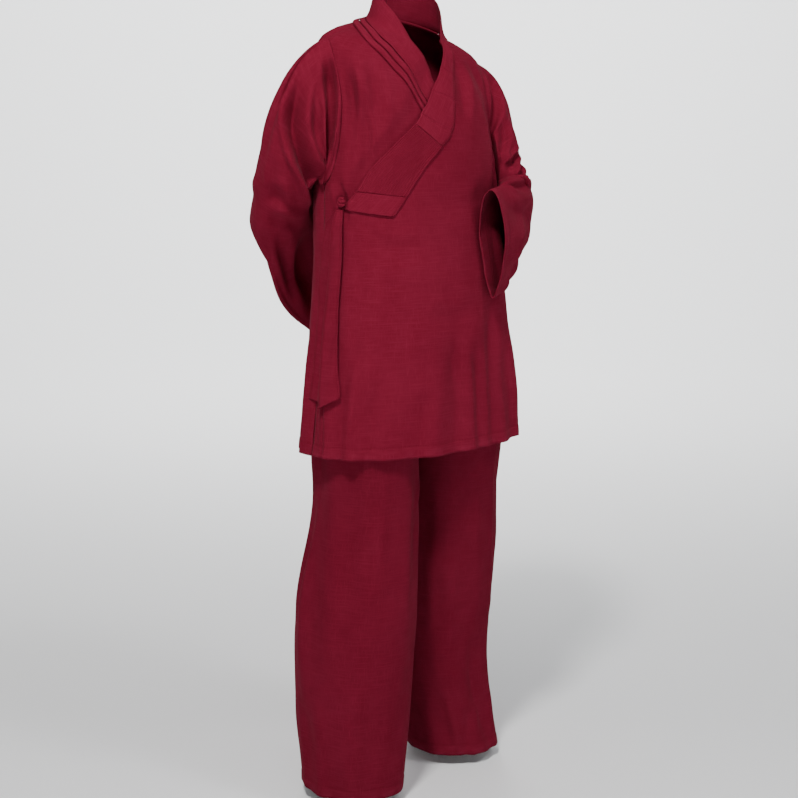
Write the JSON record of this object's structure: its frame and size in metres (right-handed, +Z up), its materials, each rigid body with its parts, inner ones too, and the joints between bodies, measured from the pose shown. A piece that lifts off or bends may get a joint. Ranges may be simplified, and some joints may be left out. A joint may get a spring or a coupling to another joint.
{
  "type": "buddhist monk robe",
  "caption": "Monk's suit in its worn form: a short crossed gown with collar bands, a stitched lapel, a side tie and wide sleeves, over straight wide trousers.",
  "frame": {"origin": "the base of the neck, where the wearer holds the gown up", "axes": "+Z up; the wearer faces -Y, and the wearer's left is +X"},
  "size_m": [0.5502, 0.3899, 1.5116],
  "materials": {
    "cloth": "matte slub weave in maroon"
  },
  "bodies": {
    "root": {"back": "cloth", "right_front": "cloth", "left_front": "cloth", "under_collar": "cloth", "collar_lip_1": "cloth", "collar_lip_2": "cloth", "over_collar": "cloth", "lapel": "cloth", "lapel_binding": "cloth", "tie_knot": "cloth", "front_ribbon": "cloth", "back_ribbon": "cloth", "left_sleeve": "cloth", "right_sleeve": "cloth", "right_leg": "cloth", "left_leg": "cloth", "waistband": "cloth"}
  },
  "joints": []
}
